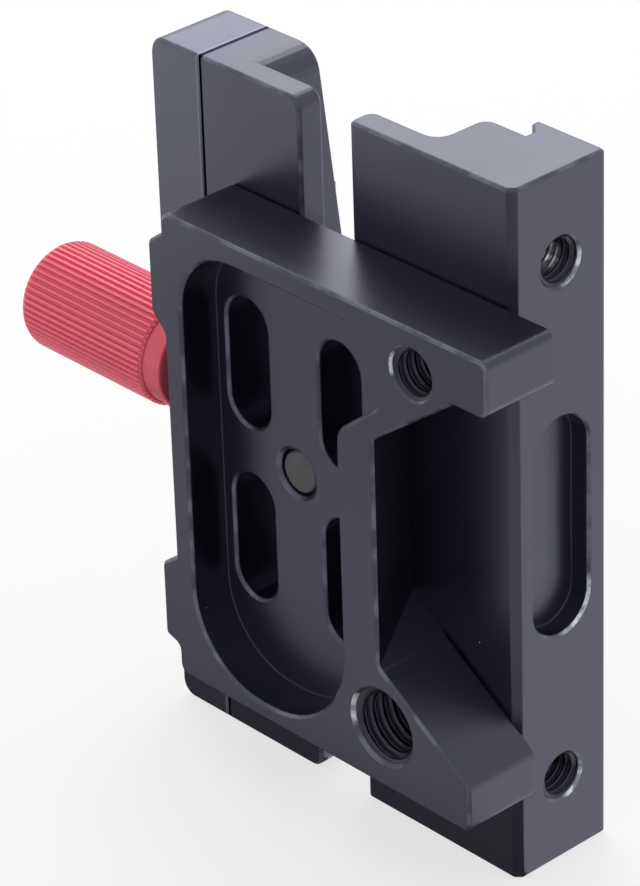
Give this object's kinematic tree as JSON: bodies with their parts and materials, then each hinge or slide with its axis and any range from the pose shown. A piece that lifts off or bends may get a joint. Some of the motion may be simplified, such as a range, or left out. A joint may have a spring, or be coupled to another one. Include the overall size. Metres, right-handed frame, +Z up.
{
  "type": "quick release plate",
  "caption": "Quick release clamp with a screw driven dovetail jaw, a knurled knob and a slotted front plate with tripod threads.",
  "frame": {"origin": "middle of the bounding box's bottom face, between the two blocks' lower ends", "axes": "+X from the knob to the accessory face, +Y from the front plate to the dovetail channel, +Z up along the dovetail"},
  "size_m": [0.0921, 0.0256, 0.091],
  "materials": {
    "black_anodised": "bead blasted and anodised, matt",
    "red_anodised": "knurled and anodised, satin",
    "steel": "turned, satin",
    "spring_steel": "drawn wire",
    "dark_steel": "black oxide",
    "bronze": "turned, satin"
  },
  "bodies": {
    "body": {"clamp_body": "black_anodised", "front_plate": "black_anodised", "centre_screw": "steel", "plate_dowel_upper": "steel", "plate_dowel_lower": "steel", "thread_bush": "bronze", "return_spring_upper": "spring_steel", "return_spring_lower": "spring_steel"},
    "jaw": {"moving_jaw": "black_anodised", "guide_pin_upper": "steel", "guide_pin_lower": "steel", "thrust_washer": "bronze"},
    "knob": {"knob": "red_anodised", "clamp_screw": "steel", "knob_grub_screw": "dark_steel", "retaining_clip": "spring_steel"}
  },
  "joints": [
    {"name": "jaw_slide", "type": "slide", "parent": "body", "child": "jaw", "axis": [-1, 0, 0], "range_m": [0, 0.006], "deforming": ["return_spring_upper", "return_spring_lower"]},
    {"name": "knob_turn", "type": "hinge", "parent": "jaw", "child": "knob", "pos_m": [-0.03055, 0.00335, 0.0455], "axis": [-1, 0, 0], "range_deg": [0, 2700]}
  ],
  "couplings": [
    {"joint": "knob_turn", "follows": "jaw_slide", "rad_per_m": 7854}
  ]
}
